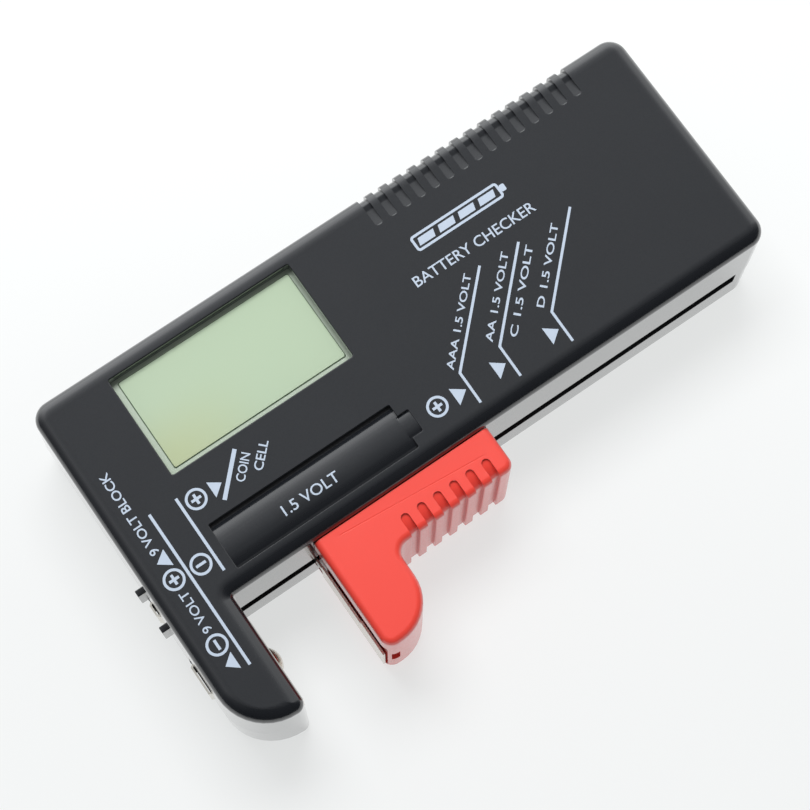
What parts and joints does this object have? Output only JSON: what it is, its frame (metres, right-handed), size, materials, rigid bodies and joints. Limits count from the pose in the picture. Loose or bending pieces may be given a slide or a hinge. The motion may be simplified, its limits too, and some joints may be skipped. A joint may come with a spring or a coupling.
{
  "type": "battery tester",
  "caption": "Handheld battery tester: flat case with a blank display, a fixed contact arm and a friction-held sliding arm that closes on the cell under test.",
  "frame": {"origin": "middle of the main body's back face, the fixed arm left out", "axes": "+X along the body, away from the fixed arm; +Y across it, away from the two arms; +Z out of the front face, which carries the display"},
  "size_m": [0.1114, 0.061, 0.024],
  "materials": {
    "case_black": "fine moulded texture on the front face, smooth side walls",
    "slider_red": "smooth moulding, slightly translucent",
    "display_film": "pale green polarising film",
    "display_glass": "clear float glass",
    "display_reflector": "satin reflecting film",
    "frame_white": "plain moulding",
    "elastomer_pink": "striped silicone strip",
    "board_green": "solder mask over glass fibre",
    "resin_black": "cast resin and chip bodies",
    "capacitor_tan": "fired ceramic",
    "screw_steel": "zinc plated",
    "contact_nickel": "nickel plated strip",
    "rail_brass": "bare brass strip",
    "cell_sleeve": "shrunk sleeve, no marks",
    "lead_red": "PVC insulation",
    "lead_black": "PVC insulation"
  },
  "bodies": {
    "case": {"front_case": "case_black", "rear_case": "case_black", "lcd_front_film": "display_film", "lcd_front_glass": "display_glass", "lcd_rear_glass": "display_glass", "lcd_reflector": "display_reflector", "lcd_frame": "frame_white", "elastomer_connector": "elastomer_pink", "circuit_board": "board_green", "chip_cover": "resin_black", "board_resistors": "resin_black", "board_capacitors": "capacitor_tan", "board_screws": "screw_steel", "case_screws": "screw_steel", "arm_contact": "contact_nickel", "nine_volt_plus_contact": "contact_nickel", "nine_volt_minus_contact": "contact_nickel", "contact_rail": "rail_brass", "cell_spring": "contact_nickel", "cell_plate": "contact_nickel", "power_cell": "cell_sleeve", "red_leads": "lead_red", "black_leads": "lead_black"},
    "slider": {"slider_grip": "slider_red", "slider_carriage": "frame_white", "slider_contact_plate": "contact_nickel", "slider_wiper": "rail_brass", "slider_screws": "screw_steel"},
    "cover": {"battery_cover": "case_black"}
  },
  "joints": [
    {"name": "slider_slide", "type": "slide", "parent": "case", "child": "slider", "axis": [1, 0, 0], "range_m": [-0.0131, 0.049]},
    {"name": "cover_slide", "type": "slide", "parent": "case", "child": "cover", "axis": [1, 0, 0], "range_m": [0, 0.009]}
  ]
}
